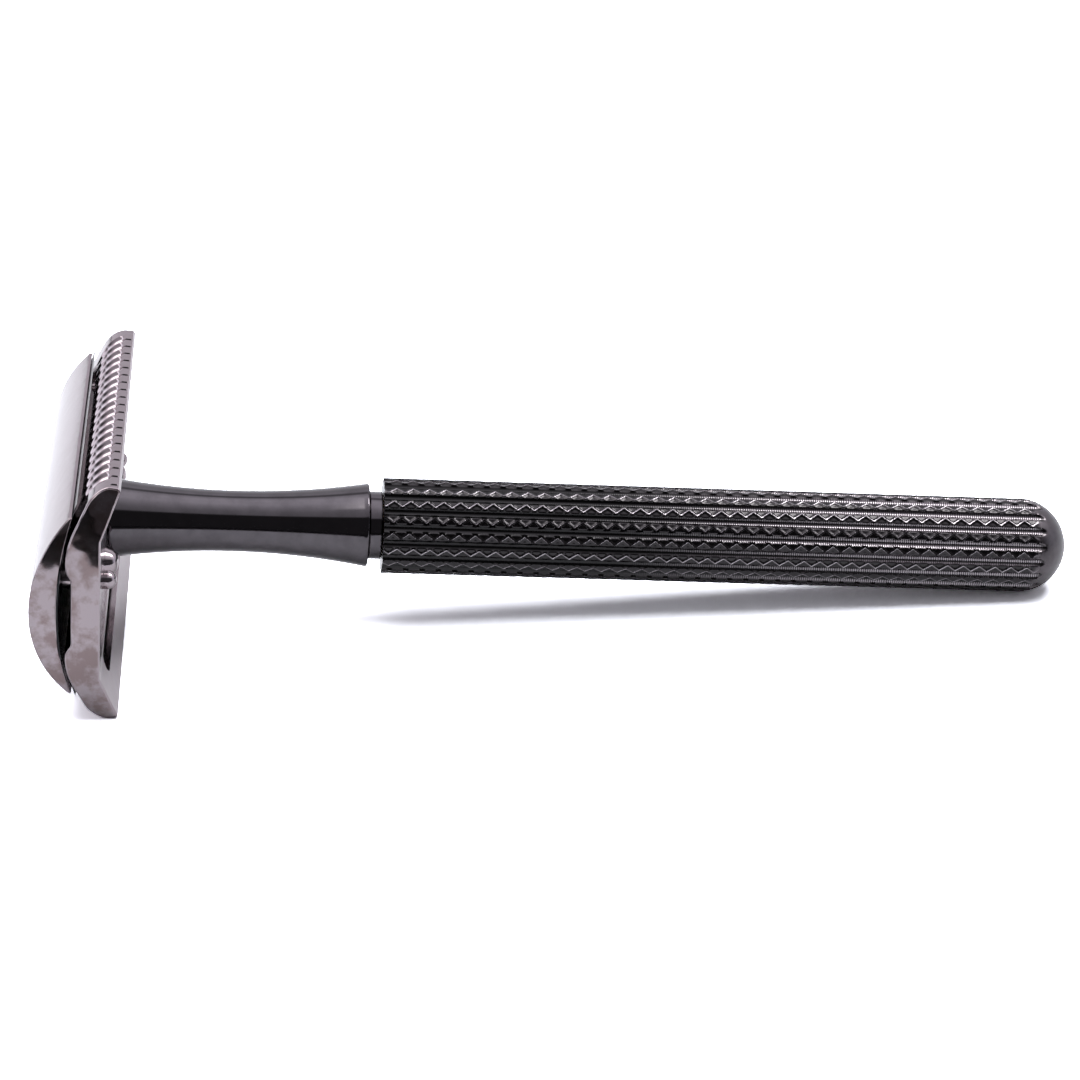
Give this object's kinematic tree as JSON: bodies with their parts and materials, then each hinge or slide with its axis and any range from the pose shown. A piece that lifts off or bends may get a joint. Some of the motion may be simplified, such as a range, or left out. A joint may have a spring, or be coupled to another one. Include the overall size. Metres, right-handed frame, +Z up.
{
  "type": "safety razor",
  "caption": "Three-piece double-edge safety razor in polished gunmetal: domed cap, blade, scalloped guard plate, waisted neck and fluted, knurled grip with a round end.",
  "frame": {"origin": "on the table, under the middle of the lying razor's box", "axes": "+X from the head towards the grip's round end, +Y along the head, +Z up from the table; the handle's axis falls towards +X by the rest angle of 4.74 degrees"},
  "size_m": [0.1104, 0.0428, 0.0264],
  "materials": {
    "head_gunmetal": "polished black chrome",
    "neck_gunmetal": "polished black chrome",
    "grip_gunmetal": "polished black chrome, knurled ribs",
    "stud_steel": "turned",
    "blade_steel": "dark-coated, with ground edges",
    "bush_brass": "turned"
  },
  "bodies": {
    "handle": {"neck": "neck_gunmetal", "shoulder_stud": "neck_gunmetal", "grip_bush": "bush_brass", "grip": "grip_gunmetal"},
    "base_plate": {"base_plate": "head_gunmetal"},
    "cap": {"cap": "head_gunmetal", "threaded_stud": "stud_steel", "locating_pin_near": "head_gunmetal", "locating_pin_far": "head_gunmetal"},
    "blade": {"blade": "blade_steel"}
  },
  "joints": [
    {"name": "head_turn", "type": "hinge", "parent": "handle", "child": "base_plate", "pos_m": [-0.04815, 0, 0.01328], "axis": [-0.9966, 0, 0.0827], "range_deg": [0, 3240]},
    {"name": "cap_lift", "type": "slide", "parent": "base_plate", "child": "cap", "axis": [-0.9966, 0, 0.0827], "range_m": [0, 0.0072]},
    {"name": "blade_lift", "type": "slide", "parent": "base_plate", "child": "blade", "axis": [-0.9966, 0, 0.0827], "range_m": [0, 0.0036]}
  ],
  "couplings": [
    {"joint": "cap_lift", "follows": "head_turn", "m_per_rad": 0.00012732},
    {"joint": "blade_lift", "follows": "head_turn", "m_per_rad": 0.000063661}
  ]
}
